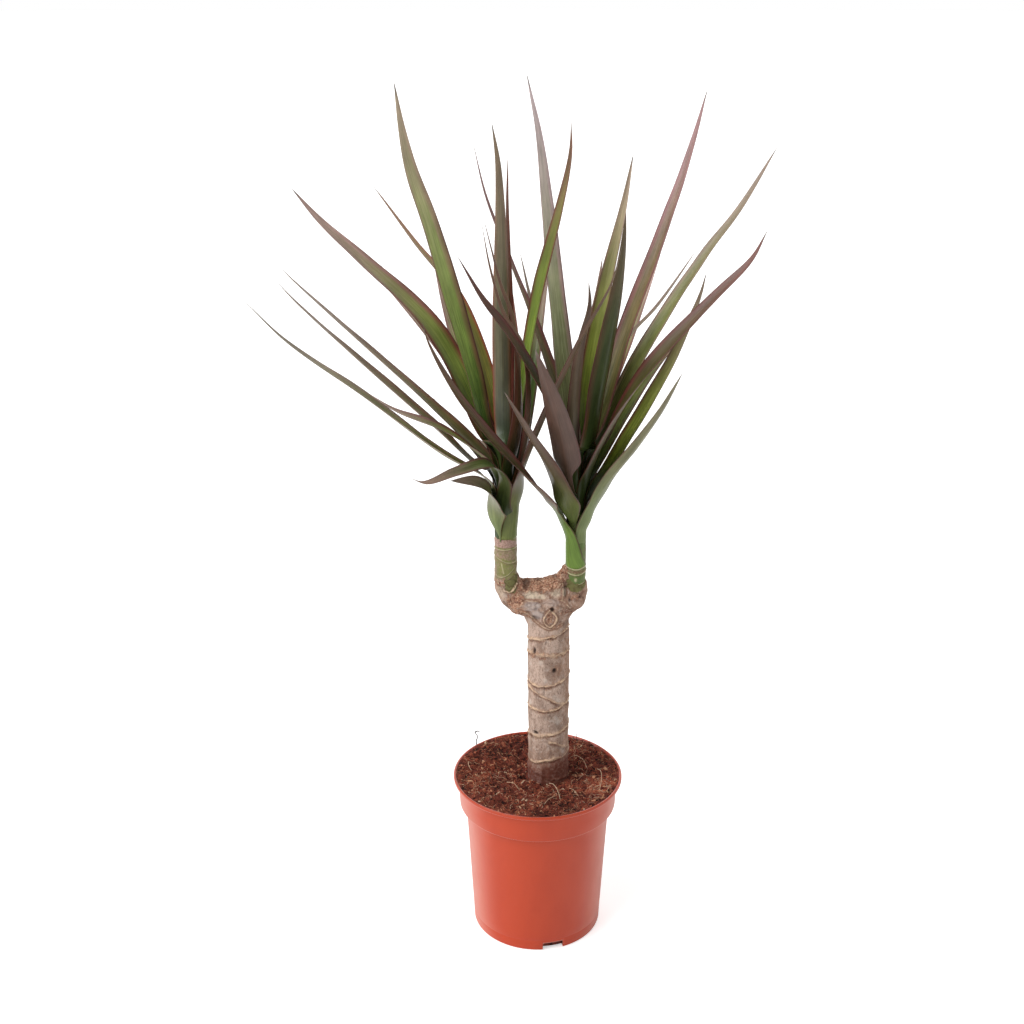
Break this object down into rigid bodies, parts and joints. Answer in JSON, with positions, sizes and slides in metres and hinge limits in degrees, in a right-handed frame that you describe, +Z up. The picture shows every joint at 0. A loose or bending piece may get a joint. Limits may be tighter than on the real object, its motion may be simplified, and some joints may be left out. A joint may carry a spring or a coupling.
{
  "type": "potted dracaena marginata",
  "caption": "Young dragon tree house plant: a bare ringed trunk forks into two stems with crowns of narrow pointed leaves, in a round nursery pot of soil.",
  "frame": {"origin": "centre of the pot's foot, on the surface that it stands on", "axes": "+Z up along the trunk, +X towards the right stem, -Y towards the picture's camera"},
  "size_m": [0.3368, 0.2426, 0.5952],
  "materials": {
    "pot": "satin terracotta-coloured thin moulded plastic",
    "soil": "damp brown coir and peat with straw-coloured fibres",
    "bark": "dry grey-brown ringed bark with crumbly brown scars",
    "stem_left": "smooth olive-green young stem with pale leaf-scar rings",
    "stem_right": "smooth green young stem with pale leaf-scar rings",
    "leaf": "satin green leaf with mauve-red margins and a paler grey-mauve underside"
  },
  "bodies": {
    "root": {"pot": "pot", "soil": "soil", "trunk": "bark", "stem_left": "stem_left", "stem_right": "stem_right", "left_leaf_01": "leaf", "left_leaf_02": "leaf", "left_leaf_03": "leaf", "left_leaf_04": "leaf", "left_leaf_05": "leaf", "left_leaf_06": "leaf", "left_leaf_07": "leaf", "left_leaf_08": "leaf", "left_leaf_09": "leaf", "left_leaf_10": "leaf", "left_leaf_11": "leaf", "left_leaf_12": "leaf", "left_leaf_13": "leaf", "left_leaf_14": "leaf", "left_leaf_15": "leaf", "left_leaf_16": "leaf", "left_leaf_17": "leaf", "left_leaf_18": "leaf", "left_leaf_19": "leaf", "left_leaf_20": "leaf", "right_leaf_01": "leaf", "right_leaf_02": "leaf", "right_leaf_03": "leaf", "right_leaf_04": "leaf", "right_leaf_05": "leaf", "right_leaf_06": "leaf", "right_leaf_07": "leaf", "right_leaf_08": "leaf", "right_leaf_09": "leaf", "right_leaf_10": "leaf", "right_leaf_11": "leaf", "right_leaf_12": "leaf", "right_leaf_13": "leaf", "right_leaf_14": "leaf", "right_leaf_15": "leaf", "right_leaf_16": "leaf", "right_leaf_17": "leaf", "right_leaf_18": "leaf", "right_leaf_19": "leaf", "right_leaf_20": "leaf"}
  },
  "joints": []
}
